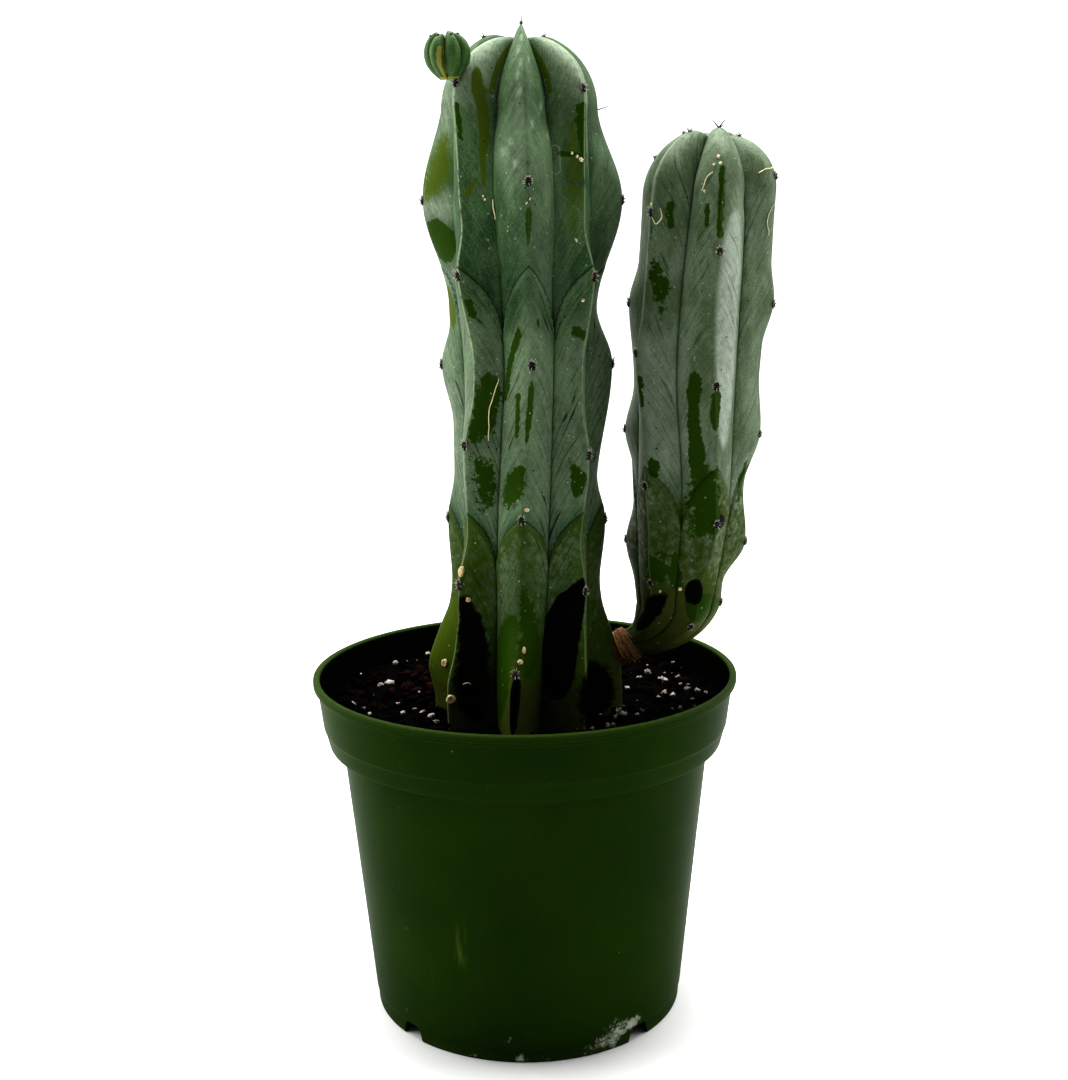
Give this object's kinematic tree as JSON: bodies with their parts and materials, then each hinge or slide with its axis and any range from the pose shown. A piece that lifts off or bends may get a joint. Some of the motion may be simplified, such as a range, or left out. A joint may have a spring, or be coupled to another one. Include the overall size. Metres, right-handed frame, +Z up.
{
  "type": "potted blue candle cactus",
  "caption": "Columnar ribbed cactus with a shorter side stem and a small round offset, standing in soil in a tapered plastic nursery pot.",
  "frame": {"origin": "middle of the whole part's footprint, on the plane the pot stands on", "axes": "+Z up, -Y towards the front in which the side stem is on the right (+X)"},
  "size_m": [0.1624, 0.1524, 0.3448],
  "materials": {
    "pot_plastic": "satin moulded plastic",
    "potting_soil": "loose damp bark and peat with white perlite",
    "stem_skin": "waxy skin with a blue-green bloom",
    "cork": "dry fibrous cork",
    "offset_skin": "fresh green skin"
  },
  "bodies": {
    "root": {"pot": "pot_plastic", "soil": "potting_soil", "main_stem": "stem_skin", "branch_stem": "stem_skin", "branch_neck": "cork", "young_offset": "offset_skin"}
  },
  "joints": []
}
